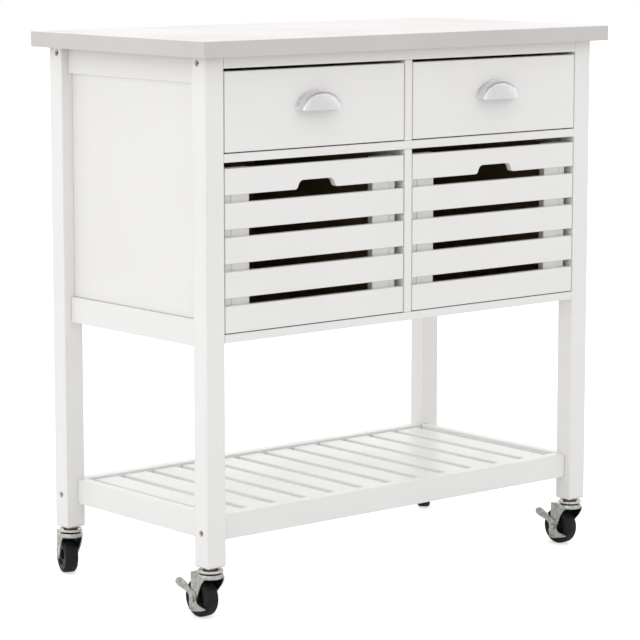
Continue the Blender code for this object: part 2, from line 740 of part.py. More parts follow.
make_worktop()
make_legs()
make_side_frames()
make_back_frame()
make_boards()
for label, direction in (("left", -1), ("right", 1)):
    make_drawer(label, direction)
    make_crate(label, direction)
make_shelf()
make_casters()
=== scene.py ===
"""A white kitchen island cart with a steel worktop, two drawers, two slatted crates and a slatted shelf."""
import math

import bpy
from mathutils import Matrix, Vector


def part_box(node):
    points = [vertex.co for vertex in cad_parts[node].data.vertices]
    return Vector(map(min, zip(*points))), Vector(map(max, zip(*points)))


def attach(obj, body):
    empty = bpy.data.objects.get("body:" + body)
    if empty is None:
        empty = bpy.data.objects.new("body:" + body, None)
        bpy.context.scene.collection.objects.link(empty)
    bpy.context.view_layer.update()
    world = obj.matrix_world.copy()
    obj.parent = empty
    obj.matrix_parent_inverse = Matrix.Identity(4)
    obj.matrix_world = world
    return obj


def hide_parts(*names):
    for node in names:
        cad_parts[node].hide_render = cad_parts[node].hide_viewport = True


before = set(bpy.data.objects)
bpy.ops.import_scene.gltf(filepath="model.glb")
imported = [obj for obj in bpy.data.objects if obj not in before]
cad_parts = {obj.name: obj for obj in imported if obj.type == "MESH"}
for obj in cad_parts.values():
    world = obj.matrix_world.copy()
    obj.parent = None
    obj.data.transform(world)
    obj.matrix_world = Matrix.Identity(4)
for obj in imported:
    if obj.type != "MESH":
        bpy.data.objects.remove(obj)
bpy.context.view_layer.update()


# Legs
# Four square legs of painted rubberwood with lightly rounded edges and a chamfered foot. Two blind
# holes in each outer face take the frame bolts, and a hole up the foot takes the caster's stem.
LEG_ROUNDING = 0.0016
FOOT_CHAMFER = 0.0022
BOLT_HOLE_RADIUS = 0.005
BOLT_HOLE_DEPTH = 0.0095
LEG_WOOD_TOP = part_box("front_rail")[0].z + 0.009
LOWER_BOLT_HEIGHT = 0.1355
UPPER_BOLT_INSET = 0.020
PAINT_WHITE = (0.8637, 0.86, 0.8503)
PAINT_THIN = (0.8308, 0.822, 0.8023)


def clear_bench():
    """Leaves nothing selected."""
    bpy.ops.object.select_all(action="DESELECT")


def take(piece):
    """Selects one piece alone and makes it the active one."""
    clear_bench()
    piece.select_set(True)
    bpy.context.view_layer.objects.active = piece


def pick_faces(piece, wanted):
    """Opens a piece for editing with only the faces that pass a test selected."""
    take(piece)
    bpy.ops.object.mode_set(mode="EDIT")
    bpy.ops.mesh.select_mode(type="FACE")
    bpy.ops.mesh.select_all(action="DESELECT")
    bpy.ops.object.mode_set(mode="OBJECT")
    for face in piece.data.polygons:
        face.select = wanted(face)
    bpy.ops.object.mode_set(mode="EDIT")


def pick_edges(piece, wanted):
    """Opens a piece for editing with only the edges whose two ends pass a test selected."""
    take(piece)
    bpy.ops.object.mode_set(mode="EDIT")
    bpy.ops.mesh.select_mode(type="EDGE")
    bpy.ops.mesh.select_all(action="DESELECT")
    bpy.ops.object.mode_set(mode="OBJECT")
    for edge in piece.data.edges:
        edge.select = wanted(*(piece.data.vertices[v].co for v in edge.vertices))
    bpy.ops.object.mode_set(mode="EDIT")


def close_up(piece):
    """Ends editing."""
    bpy.ops.object.mode_set(mode="OBJECT")


def apply_all(piece):
    take(piece)
    for modifier in list(piece.modifiers):
        bpy.ops.object.modifier_apply(modifier=modifier.name)


def ease_edges(piece, width, steps=3, sharper_than=35):
    """Rounds a piece's sharp edges over and keeps its flats flat."""
    take(piece)
    bpy.ops.object.shade_smooth_by_angle(angle=math.radians(min(sharper_than, 40)))
    easing = piece.modifiers.new("eased edges", "BEVEL")
    easing.width = width
    easing.segments = steps
    easing.limit_method = "ANGLE"
    easing.angle_limit = math.radians(sharper_than)
    easing.harden_normals = True
    easing.use_clamp_overlap = True
    apply_all(piece)


def saw_block(name, low, high):
    """Saws a square block between two corners, where it goes."""
    clear_bench()
    bpy.ops.mesh.primitive_cube_add(size=1)
    block = bpy.context.active_object
    block.name = block.data.name = name
    bpy.ops.object.mode_set(mode="EDIT")
    bpy.ops.transform.resize(value=Vector(high) - Vector(low), center_override=(0, 0, 0))
    bpy.ops.transform.translate(value=(Vector(high) + Vector(low)) / 2)
    bpy.ops.object.mode_set(mode="OBJECT")
    return block


def saw_board(name, low, high, ease=0.0012, steps=3):
    """Saws a board and rounds its edges over."""
    board = saw_block(name, low, high)
    ease_edges(board, ease, steps)
    return board


def drill(piece, *bits):
    """Takes the bits' shapes out of a piece."""
    for bit in bits:
        hole = piece.modifiers.new("hole", "BOOLEAN")
        hole.operation = "DIFFERENCE"
        hole.solver = "EXACT"
        hole.object = bit
    apply_all(piece)
    for bit in bits:
        bpy.data.objects.remove(bit, do_unlink=True)


def round_bit(radius, length, centre, along="Z", sides=32):
    """A round bar centred on a point, for drilling with or to make a round piece from."""
    clear_bench()
    bpy.ops.mesh.primitive_cylinder_add(vertices=sides, radius=radius, depth=length)
    bar = bpy.context.active_object
    turn = {
        "X": Matrix.Rotation(math.pi / 2, 4, "Y"),
        "Y": Matrix.Rotation(math.pi / 2, 4, "X"),
        "Z": Matrix(),
    }
    bar.data.transform(Matrix.Translation(centre) @ turn[along])
    return bar


def add_node(tree, kind, place, **settings):
    node = tree.nodes.new(kind)
    node.location = place
    for name, value in settings.items():
        setattr(node, name, value)
    return node


def new_effect(name, inputs, outputs):
    """A node group with named inputs and outputs. Returns it with its two end nodes."""
    tree = bpy.data.node_groups.new(name, "ShaderNodeTree")
    kinds = {"colour": "NodeSocketColor", "value": "NodeSocketFloat", "vector": "NodeSocketVector"}
    for label, kind in inputs:
        tree.interface.new_socket(name=label, in_out="INPUT", socket_type=kinds[kind])
    for label, kind in outputs:
        tree.interface.new_socket(name=label, in_out="OUTPUT", socket_type=kinds[kind])
    start = add_node(tree, "NodeGroupInput", (-900, 0))
    end = add_node(tree, "NodeGroupOutput", (900, 0))
    return tree, start, end


def stretched_noise(tree, start, place, scale, detail=3.0, stretch=None):
    """Noise on Object coordinates. With a stretch socket it is drawn out like grain."""
    where = add_node(tree, "ShaderNodeTexCoord", (place[0] - 400, place[1]))
    noise = add_node(tree, "ShaderNodeTexNoise", place)
    noise.inputs["Scale"].default_value = scale
    noise.inputs["Detail"].default_value = detail
    if stretch is None:
        tree.links.new(where.outputs["Object"], noise.inputs["Vector"])
        return noise
    pull = add_node(tree, "ShaderNodeVectorMath", (place[0] - 200, place[1]), operation="MULTIPLY")
    tree.links.new(where.outputs["Object"], pull.inputs[0])
    tree.links.new(start.outputs[stretch], pull.inputs[1])
    tree.links.new(pull.outputs[0], noise.inputs["Vector"])
    return noise


def rescale(tree, socket, low, high, place, source=(0.3, 0.7)):
    """Brings a value that runs over source to the range low to high."""
    node = add_node(tree, "ShaderNodeMapRange", place)
    node.inputs["From Min"].default_value = source[0]
    node.inputs["From Max"].default_value = source[1]
    node.inputs["To Min"].default_value = low
    node.inputs["To Max"].default_value = high
    tree.links.new(socket, node.inputs["Value"])
    return node.outputs["Result"]


def blend_colour(tree, factor, first, second, place):
    node = add_node(tree, "ShaderNodeMix", place, data_type="RGBA")
    tree.links.new(factor, node.inputs["Factor"])
    tree.links.new(first, node.inputs["A"])
    tree.links.new(second, node.inputs["B"])
    return node.outputs["Result"]


def add_up(tree, first, second, place, operation="ADD"):
    node = add_node(tree, "ShaderNodeMath", place, operation=operation)
    tree.links.new(first, node.inputs[0])
    if isinstance(second, float):
        node.inputs[1].default_value = second
    else:
        tree.links.new(second, node.inputs[1])
    return node.outputs[0]


def make_sprayed_paint():
    """Satin paint on wood: faint grain that shows through, orange peel, and a darker tint on sharp edges that
    is partly thinner paint on worn edges and partly painted shade along the joints.
    """
    tree, start, end = new_effect(
        "sprayed_paint",
        [("Paint", "colour"), ("Thin Paint", "colour"), ("Grain", "vector"), ("Edge Wear And Shade", "value")],
        [("Colour", "colour"), ("Roughness", "value"), ("Height", "value")],
    )
    grain = stretched_noise(tree, start, (-400, 300), 1.0, 4.0, "Grain")
    cloud = stretched_noise(tree, start, (-400, 0), 7.0, 2.0)
    peel = stretched_noise(tree, start, (-400, -300), 620.0, 2.0)
    # Sharp edges get the thinner, darker paint: partly wear, partly painted shade along the joints.
    edge_wear_and_shade = add_node(tree, "ShaderNodeNewGeometry", (-400, -600))
    corner = rescale(tree, edge_wear_and_shade.outputs["Pointiness"], 0.0, 1.0, (-200, -600), (0.52, 0.60))
    corner = add_up(tree, corner, start.outputs["Edge Wear And Shade"], (0, -600), "MULTIPLY")
    mottle = rescale(tree, cloud.outputs["Fac"], 0.0, 0.5, (-200, 0))
    streak = rescale(tree, grain.outputs["Fac"], 0.0, 0.35, (-200, 300))
    thin = add_up(tree, add_up(tree, mottle, streak, (0, 150)), corner, (200, 0))
    colour = blend_colour(tree, thin, start.outputs["Paint"], start.outputs["Thin Paint"], (500, 300))
    tree.links.new(colour, end.inputs["Colour"])
    shine = rescale(tree, cloud.outputs["Fac"], 0.30, 0.40, (300, 0))
    tree.links.new(shine, end.inputs["Roughness"])
    raised = add_up(tree, grain.outputs["Fac"], 0.55, (200, -300), "MULTIPLY")
    bumps = add_up(tree, peel.outputs["Fac"], 0.45, (200, -450), "MULTIPLY")
    tree.links.new(add_up(tree, raised, bumps, (500, -300)), end.inputs["Height"])
    return tree


def new_finish(name, effect, inputs, bump, metallic=0.0, coat=0.0):
    """A material whose colour, roughness and bump come from one effect."""
    material = bpy.data.materials.new(name)
    material.use_nodes = True
    tree = material.node_tree
    shader = tree.nodes["Principled BSDF"]
    group = add_node(tree, "ShaderNodeGroup", (-500, 0), node_tree=effect)
    for label, value in inputs.items():
        group.inputs[label].default_value = value if isinstance(value, float) else tuple(value)
    relief = add_node(tree, "ShaderNodeBump", (-220, -250))
    relief.inputs["Strength"].default_value = bump[0]
    relief.inputs["Distance"].default_value = bump[1]
    tree.links.new(group.outputs["Colour"], shader.inputs["Base Color"])
    tree.links.new(group.outputs["Roughness"], shader.inputs["Roughness"])
    tree.links.new(group.outputs["Height"], relief.inputs["Height"])
    tree.links.new(relief.outputs["Normal"], shader.inputs["Normal"])
    shader.inputs["Metallic"].default_value = metallic
    shader.inputs["Coat Weight"].default_value = coat
    return material


SPRAYED_PAINT = make_sprayed_paint()
ALONG = {"X": (9.0, 260.0, 260.0), "Y": (260.0, 9.0, 260.0), "Z": (260.0, 260.0, 9.0)}


def painted(along):
    """Off-white satin paint over wood whose grain runs along X, Y or Z."""
    name = f"white_paint_grain_{along.lower()}"
    if name in bpy.data.materials:
        return bpy.data.materials[name]
    inputs = {
        "Paint": (*PAINT_WHITE, 1.0),
        "Thin Paint": (*PAINT_THIN, 1.0),
        "Grain": ALONG[along],
        # Strength of the edge tint, which is partly wear and partly painted shade in the joints.
        "Edge Wear And Shade": 0.6,
    }
    return new_finish(name, SPRAYED_PAINT, inputs, (0.10, 0.0004), coat=0.08)


def fit(piece, body, slot, material, *nodes):
    """Gives a finished piece its material, fixes it to its body and hides the CAD nodes it stands for."""
    piece.data.materials.clear()
    piece.data.materials.append(material)
    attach(piece, body)
    if nodes:
        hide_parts(*nodes)
    return piece


bolt_places = []
for end in ("front", "back"):
    for side in ("left", "right"):
        node = f"leg_{end}_{side}"
        low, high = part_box(node)
        middle = (low + high) / 2
        out = -1 if side == "left" else 1
        face_x = low.x if side == "left" else high.x
        upper_y = low.y + UPPER_BOLT_INSET if end == "front" else high.y - UPPER_BOLT_INSET
        leg = saw_block(f"painted_{node}", low, high)
        pick_edges(leg, lambda a, b: max(a.z, b.z) < low.z + FOOT_CHAMFER)
        bpy.ops.mesh.bevel(offset=FOOT_CHAMFER, segments=1, affect="EDGES")
        close_up(leg)
        ease_edges(leg, LEG_ROUNDING, 4, 65)
        bits = [round_bit(0.0055, 0.064, (middle.x, middle.y, low.z))]
        for y, z in ((upper_y, LEG_WOOD_TOP), (middle.y, LOWER_BOLT_HEIGHT)):
            bits.append(round_bit(BOLT_HOLE_RADIUS, 2 * BOLT_HOLE_DEPTH, (face_x, y, z), "X"))
            bolt_places.append((f"{end}_{side}", out, Vector((face_x, y, z))))
        drill(leg, *bits)
        fit(leg, "cart", "white_paint", painted("Z"), node)


# Frame bolts
# Eight copper-coloured connector bolts, sunk below the legs' faces. Each has a domed head with a
# hexagon socket, and holds a rail's end to its leg.
BOLT_HEAD_RADIUS = 0.0046
BOLT_HEAD_THICKNESS = 0.0035
BOLT_HEAD_SUNK = 0.0022
SOCKET_RADIUS = 0.0023


def make_plated():
    """Plated or cast metal: cloudy tarnish, fine scratches and a soft sheen."""
    tree, start, end = new_effect(
        "plated_metal",
        [("Metal", "colour"), ("Tarnish", "colour"), ("Grain", "vector"), ("Matt", "value")],
        [("Colour", "colour"), ("Roughness", "value"), ("Height", "value")],
    )
    cloud = stretched_noise(tree, start, (-400, 300), 160.0, 5.0)
    scratch = stretched_noise(tree, start, (-400, 0), 1.0, 2.0, "Grain")
    pits = stretched_noise(tree, start, (-400, -300), 1500.0, 2.0)
    dull = rescale(tree, cloud.outputs["Fac"], 0.0, 0.8, (-200, 300), (0.35, 0.75))
    colour = blend_colour(tree, dull, start.outputs["Metal"], start.outputs["Tarnish"], (400, 300))
    tree.links.new(colour, end.inputs["Colour"])
    sheen = rescale(tree, cloud.outputs["Fac"], -0.05, 0.07, (0, 0))
    tree.links.new(add_up(tree, sheen, start.outputs["Matt"], (300, 0)), end.inputs["Roughness"])
    lines = add_up(tree, scratch.outputs["Fac"], 0.6, (0, -200), "MULTIPLY")
    dots = add_up(tree, pits.outputs["Fac"], 0.4, (0, -350), "MULTIPLY")
    tree.links.new(add_up(tree, lines, dots, (300, -250)), end.inputs["Height"])
    return tree


PLATED = make_plated()


def plated(name, metal, tarnish, matt, relief=0.06, grain=(900.0, 900.0, 900.0)):
    inputs = {"Metal": (*metal, 1.0), "Tarnish": (*tarnish, 1.0), "Grain": grain, "Matt": matt}
    return new_finish(name, PLATED, inputs, (relief, 0.0002), metallic=1.0)


COPPER_PLATE = plated("copper_plated_steel", (0.70, 0.53, 0.46), (0.50, 0.37, 0.31), 0.36)

for number, (leg_name, out, hole) in enumerate(bolt_places):
    reach = out * (BOLT_HEAD_SUNK + BOLT_HEAD_THICKNESS / 2)
    centre = hole - Vector((reach, 0, 0))
    head = round_bit(BOLT_HEAD_RADIUS, BOLT_HEAD_THICKNESS, centre, "X", 40)
    ease_edges(head, 0.0010, 3)
    drill(head, round_bit(SOCKET_RADIUS, 0.0042, hole - Vector((out * BOLT_HEAD_SUNK, 0, 0)), "X", 6))
    place = "upper" if hole.z > 0.5 else "lower"
    head.name = head.data.name = f"frame_bolt_{place}_{leg_name}"
    fit(head, "cart", "zinc_plate", COPPER_PLATE)


# Side, back and front frames
# Rails of painted rubberwood between the legs, dowelled and bolted. The side and back panels are
# thin painted boards that sit between the rails, behind a small rounded edge.
for side in ("left", "right"):
    for rail in ("side_rail_upper", "side_rail_lower"):
        node = f"{rail}_{side}"
        low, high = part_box(node)
        fit(saw_board(f"painted_{node}", low, high, 0.0016), "cart", "white_paint", painted("Y"), node)
    node = f"side_panel_{side}"
    low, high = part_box(node)
    fit(saw_board(f"painted_{node}", low, high, 0.0007, 2), "cart", "white_paint", painted("Z"), node)
for node, along, ease in (
    ("back_rail_upper", "X", 0.0014),
    ("back_rail_lower", "X", 0.0016),
    ("back_panel", "X", 0.0007),
    ("front_rail", "X", 0.0006),
):
    low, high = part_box(node)
    fit(saw_board(f"painted_{node}", low, high, ease), "cart", "white_paint", painted(along), node)


# Cabinet boards and divider
# The middle board and the floor board run right through between the legs, notched round them, and
# the upright divider is in two pieces, one above and one below the middle board.
CORNER_GAP = 0.0003


def notch(board, *corners):
    """Saws square pieces out of a board. Each corner is a low point and a high point."""
    drill(board, *(saw_block("offcut", low, high) for low, high in corners))


leg_inner_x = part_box("leg_front_left")[1].x
leg_inner_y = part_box("leg_front_left")[1].y
for node in ("middle_board", "floor_board"):
    low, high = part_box(node)
    board = saw_block(f"painted_{node}", low, high)
    clear = 0.02
    cuts = []
    for sx in (-1, 1):
        for sy in (-1, 1):
            x = sorted((sx * (abs(leg_inner_x) - CORNER_GAP), sx * (high.x + clear)))
            y = sorted((sy * (abs(leg_inner_y) - CORNER_GAP), sy * (abs(low.y) + clear)))
            cuts.append(((x[0], y[0], low.z - clear), (x[1], y[1], high.z + clear)))
    notch(board, *cuts)
    ease_edges(board, 0.0008)
    fit(board, "cart", "white_paint", painted("X"), node)

low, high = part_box("divider_upper")
front_rail_low, front_rail_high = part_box("front_rail")
back_rail_low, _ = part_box("back_rail_upper")
upright = saw_block("painted_divider_upper", low, high)
notch(
    upright,
    (
        (-0.03, low.y - 0.02, front_rail_low.z - CORNER_GAP),
        (0.03, front_rail_high.y + CORNER_GAP, high.z + 0.02),
    ),
    (
        (-0.03, back_rail_low.y - CORNER_GAP, front_rail_low.z - CORNER_GAP),
        (0.03, high.y + 0.02, high.z + 0.02),
    ),
)
ease_edges(upright, 0.0010)
fit(upright, "cart", "white_paint", painted("Z"), "divider_upper")
low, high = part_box("divider_lower")
divider_lower = saw_board("painted_divider_lower", low, high, 0.0010)
fit(divider_lower, "cart", "white_paint", painted("Z"), "divider_lower")


# Drawers
# Each drawer has a thick painted front and a box of bare rubberwood, glued at the corners, with a
# thin bottom let in between the sides. Two pan-head screws in the front hold the cup pull.
PULL_SCREW_SPACING = 0.064
SCREW_HEAD_RADIUS = 0.004
SCREW_HEAD_THICKNESS = 0.0022


def make_bare_wood():
    """Bare planed wood: growth rings drawn out along the grain, pores, and a dry sheen."""
    tree, start, end = new_effect(
        "bare_wood",
        [("Early Wood", "colour"), ("Late Wood", "colour"), ("Grain", "vector")],
        [("Colour", "colour"), ("Roughness", "value"), ("Height", "value")],
    )
    rings = stretched_noise(tree, start, (-400, 300), 0.35, 3.0, "Grain")
    pores = stretched_noise(tree, start, (-400, 0), 4.0, 2.0, "Grain")
    cloud = stretched_noise(tree, start, (-400, -300), 5.0, 2.0)
    ring = rescale(tree, rings.outputs["Fac"], 0.0, 0.7, (-200, 300))
    pore = rescale(tree, pores.outputs["Fac"], 0.0, 0.35, (-200, 0), (0.5, 0.75))
    age = rescale(tree, cloud.outputs["Fac"], 0.0, 0.25, (-200, -300))
    dark = add_up(tree, add_up(tree, ring, pore, (0, 150)), age, (200, 0))
    colour = blend_colour(tree, dark, start.outputs["Early Wood"], start.outputs["Late Wood"], (500, 300))
    tree.links.new(colour, end.inputs["Colour"])
    tree.links.new(rescale(tree, pores.outputs["Fac"], 0.52, 0.70, (300, 0)), end.inputs["Roughness"])
    relief = add_up(tree, rings.outputs["Fac"], pores.outputs["Fac"], (300, -250))
    tree.links.new(relief, end.inputs["Height"])
    return tree


BARE_WOOD = make_bare_wood()


def bare(along, early=(0.52, 0.40, 0.27), late=(0.38, 0.27, 0.165), kind="bare_wood"):
    name = f"{kind}_grain_{along.lower()}"
    if name in bpy.data.materials:
        return bpy.data.materials[name]
    inputs = {"Early Wood": (*early, 1.0), "Late Wood": (*late, 1.0), "Grain": ALONG[along]}
    return new_finish(name, BARE_WOOD, inputs, (0.12, 0.0004))


BRIGHT_ZINC = plated("bright_zinc_screw", (0.72, 0.72, 0.70), (0.55, 0.55, 0.52), 0.28)

for side in ("left", "right"):
    body = f"drawer_{side}"
    node = f"drawer_front_{side}"
    low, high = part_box(node)
    front = saw_board(f"painted_{node}", low, high, 0.0013, 4)
    fit(front, body, "white_paint", painted("X"), node)
    for wall in ("wall_left", "wall_right"):
        node = f"drawer_{side}_{wall}"
        fit(saw_board(f"bare_{node}", *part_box(node), 0.0008, 2), body, "pale_wood", bare("Y"), node)
    for wall in ("back", "bottom"):
        node = f"drawer_{side}_{wall}"
        fit(saw_board(f"bare_{node}", *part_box(node), 0.0004, 2), body, "pale_wood", bare("X"), node)
    pull_low, pull_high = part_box(f"cup_pull_{side}")
    for number, sign in enumerate((-1, 1)):
        x = (pull_low.x + pull_high.x) / 2 + sign * PULL_SCREW_SPACING / 2
        centre = (x, high.y + SCREW_HEAD_THICKNESS / 2, pull_low.z + 0.009)
        screw = round_bit(SCREW_HEAD_RADIUS, SCREW_HEAD_THICKNESS, centre, "Y", 28)
        ease_edges(screw, 0.0009, 3)
        drill(screw, round_bit(0.0015, 0.0026, (x, high.y + SCREW_HEAD_THICKNESS, centre[2]), "Y", 4))
        screw.name = screw.data.name = f"pull_screw_{side}_{number}"
        fit(screw, body, "zinc_plate", BRIGHT_ZINC)


# Cup pulls
# A pressed cup of satin nickel on each drawer, open below for the fingers. A thin flange lies on the
# drawer front, a short wall stands up from it, and past a fine groove the front bulges out.
PULL_PROFILE = [
    (1.000, 0.0000), (1.000, 0.0008), (0.990, 0.0013), (0.942, 0.0013), (0.930, 0.0022), (0.917, 0.0060),
    (0.905, 0.0106), (0.898, 0.0124), (0.886, 0.0127), (0.878, 0.0124), (0.872, 0.0136), (0.850, 0.0152),
    (0.800, 0.0169), (0.700, 0.0190), (0.560, 0.0209), (0.400, 0.0225), (0.220, 0.0236), (0.080, 0.0240),
    (0.000, 0.0240),
]
PULL_INSIDE = [
    (0.000, 0.0222), (0.220, 0.0218), (0.400, 0.0207), (0.560, 0.0191), (0.700, 0.0171), (0.790, 0.0150),
    (0.840, 0.0125), (0.855, 0.0090), (0.870, 0.0030), (0.880, 0.0000),
]

SATIN_NICKEL = plated("satin_nickel", (0.80, 0.79, 0.80), (0.74, 0.73, 0.745), 0.20, 0.012)

for side in ("left", "right"):
    node = f"cup_pull_{side}"
    low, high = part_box(node)
    profile = PULL_PROFILE + PULL_INSIDE
    clear_bench()
    bpy.ops.mesh.primitive_circle_add(vertices=len(profile), radius=1)
    cup = bpy.context.active_object
    cup.name = cup.data.name = f"satin_{node}"
    for point, (across, out) in zip(cup.data.vertices, profile):
        point.co = (across, -out, 0)
    bpy.ops.object.mode_set(mode="EDIT")
    bpy.ops.mesh.select_all(action="SELECT")
    bpy.ops.mesh.spin(steps=96, angle=math.pi, center=(0, 0, 0), axis=(0, 1, 0))
    bpy.ops.mesh.select_all(action="SELECT")
    bpy.ops.mesh.remove_doubles(threshold=1e-5)
    bpy.ops.mesh.dissolve_degenerate(threshold=1e-6)
    bpy.ops.mesh.select_mode(type="EDGE")
    bpy.ops.mesh.select_all(action="DESELECT")
    bpy.ops.mesh.select_non_manifold(extend=False, use_multi_face=False, use_verts=False)
    bpy.ops.mesh.edge_face_add()
    bpy.ops.mesh.select_all(action="SELECT")
    bpy.ops.mesh.normals_make_consistent(inside=False)
    bpy.ops.object.mode_set(mode="OBJECT")
    cup.data.transform(Matrix.Diagonal(((high.x - low.x) / 2, 1.0, high.z - low.z, 1.0)))
    cup.data.transform(Matrix.Translation(((low.x + high.x) / 2, high.y, low.z)))
    take(cup)
    bpy.ops.object.shade_smooth_by_angle(angle=math.radians(48))
    fit(cup, f"drawer_{side}", "satin_nickel", SATIN_NICKEL, node)


# Crates
# Two crates that stand loose on the floor board. Five painted slats are pinned across two corner
# posts, with a hand-hold in the top one. The sides are painted outside, and inside all is dark bare
# wood, whose darkness is painted shade.
SLATS_PER_CRATE = 5
SLAT_STEP = 0.0521
SLAT_HEIGHT = 0.040
SLAT_THICKNESS = 0.012
SLAT_ROUNDING = 0.0017
POST_WIDTH = 0.035
HAND_MOUTH = 0.077
HAND_TOP = 0.066
HAND_HEIGHT = 0.014
HAND_ROUNDING = 0.0068
HAND_FLARE = 0.0040


def dark_wood_and_shade(along):
    """Dark bare wood. Inside the crates its darkness is painted shade; under the worktop it is the core's own
    colour.
    """
    return bare(along, (0.24, 0.17, 0.095), (0.17, 0.115, 0.06), "dark_wood_and_painted_shade")


def hand_hold_cutter(centre_x, slat_bottom, front, back):
    """A wedge with rounded upper corners, wider at its mouth, that runs right through a slat."""
    cutter = saw_block(
        "hand_hold_cutter",
        (centre_x - HAND_TOP / 2, front - 0.01, slat_bottom - 0.004),
        (centre_x + HAND_TOP / 2, back + 0.01, slat_bottom + HAND_HEIGHT),
    )
    spread = 1 + (HAND_MOUTH - HAND_TOP) / HAND_TOP * (HAND_HEIGHT + 0.004) / HAND_HEIGHT
    for point in cutter.data.vertices:
        if point.co.z < slat_bottom:
            point.co.x = centre_x + (point.co.x - centre_x) * spread
    pick_edges(cutter, lambda a, b: min(a.z, b.z) > slat_bottom + 0.01 and abs(a.x - b.x) < 1e-6)
    bpy.ops.mesh.bevel(offset=HAND_ROUNDING, segments=8, affect="EDGES")
    close_up(cutter)
    return cutter


def flare_mouth(slat, centre_x, slat_bottom):
    """Rounds the two lower corners where the hand-hold meets the slat's lower edge."""
    def at_mouth(point):
        return point.z < slat_bottom + 1e-4 and abs(abs(point.x - centre_x) - HAND_MOUTH / 2) < HAND_FLARE

    pick_edges(slat, lambda a, b: at_mouth(a) and at_mouth(b) and abs(a.x - b.x) < 1e-4)
    bpy.ops.mesh.bevel(offset=HAND_FLARE, segments=6, affect="EDGES")
    close_up(slat)


for side in ("left", "right"):
    body = f"crate_{side}"
    node = f"crate_{side}_front"
    low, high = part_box(node)
    middle_x = (low.x + high.x) / 2
    for number in range(SLATS_PER_CRATE):
        top = high.z - (SLATS_PER_CRATE - 1 - number) * SLAT_STEP
        bottom = top - SLAT_HEIGHT if number else low.z
        slat_high = (high.x, low.y + SLAT_THICKNESS - CORNER_GAP, top)
        slat = saw_block(f"painted_crate_{side}_slat_{number + 1}", (low.x, low.y, bottom), slat_high)
        if number == SLATS_PER_CRATE - 1:
            drill(slat, hand_hold_cutter(middle_x, bottom, low.y, low.y + SLAT_THICKNESS))
            flare_mouth(slat, middle_x, bottom)
        ease_edges(slat, SLAT_ROUNDING, 4, 45)
        fit(slat, body, "white_paint", painted("X"), node)
    _, wall_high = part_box(f"crate_{side}_wall_left")
    post_out = wall_high.x + CORNER_GAP
    for name, x in (("left", post_out), ("right", 2 * middle_x - post_out - POST_WIDTH)):
        post_low = (x, low.y + SLAT_THICKNESS, low.z)
        post_high = (x + POST_WIDTH, high.y, high.z)
        post = saw_board(f"painted_crate_{side}_post_{name}", post_low, post_high, 0.0010)
        fit(post, body, "white_paint", painted("Z"), node)
    for wall in ("wall_left", "wall_right"):
        node = f"crate_{side}_{wall}"
        board = saw_board(f"painted_{node}", *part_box(node), 0.0010, 3)
        fit(board, body, "white_paint", painted("Y"), node)
        # The inner faces take the dark wood, which paints the shade inside the crate.
        board.data.materials.append(dark_wood_and_shade("Y"))
        inwards = 1 if wall == "wall_left" else -1
        for face in board.data.polygons:
            if face.normal.x * inwards > 0.9:
                face.material_index = 1
    # The back and the floor are the same dark wood, painted shade inside the crate.
    for wall in ("back", "floor"):
        node = f"crate_{side}_{wall}"
        fit(saw_board(f"bare_{node}", *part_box(node), 0.0005, 2), body, "pale_wood", dark_wood_and_shade("X"), node)


# Lower shelf
# A frame of four painted rails between the legs, with twelve painted slats laid from front to back
# on two battens that are screwed up from below.
SHELF_SLATS = 12
SHELF_SLAT_WIDTH = 0.045
SHELF_SLAT_THICKNESS = 0.010
BATTEN_Y = 0.105
BATTEN_WIDTH = 0.022

for side in ("front", "back", "left", "right"):
    node = f"shelf_rail_{side}"
    along = "X" if side in ("front", "back") else "Y"
    fit(saw_board(f"painted_{node}", *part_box(node), 0.0016, 4), "cart", "white_paint", painted(along), node)
low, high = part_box("shelf_slats")
inside = (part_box("shelf_rail_right")[0].x - CORNER_GAP) * 2
slit = (inside - SHELF_SLATS * SHELF_SLAT_WIDTH) / (SHELF_SLATS + 1)
under = high.z - SHELF_SLAT_THICKNESS
for number in range(SHELF_SLATS):
    x = -inside / 2 + slit + number * (SHELF_SLAT_WIDTH + slit)
    slat = saw_board(
        f"painted_shelf_slat_{number + 1:02d}",
        (x, low.y, under),
        (x + SHELF_SLAT_WIDTH, high.y, high.z),
        0.0018,
        4,
    )
    fit(slat, "cart", "white_paint", painted("Y"), "shelf_slats")
for name, y in (("front", -BATTEN_Y), ("back", BATTEN_Y)):
    batten_low = (low.x, y - BATTEN_WIDTH / 2, low.z)
    batten_high = (high.x, y + BATTEN_WIDTH / 2, under - CORNER_GAP / 3)
    batten = saw_board(f"painted_shelf_batten_{name}", batten_low, batten_high)
    fit(batten, "cart", "white_paint", painted("X"), "shelf_slats")


# Worktop
# A wood core wrapped in thin satin stainless sheet. The sheet is folded down over the edges and
# turned in under them, so the edges are softly rounded and the core shows underneath.
SKIN_CORNER = 0.0016
SKIN_FOLD = 0.0011
SKIN_RETURN = 0.006
SKIN_THICKNESS = 0.0008


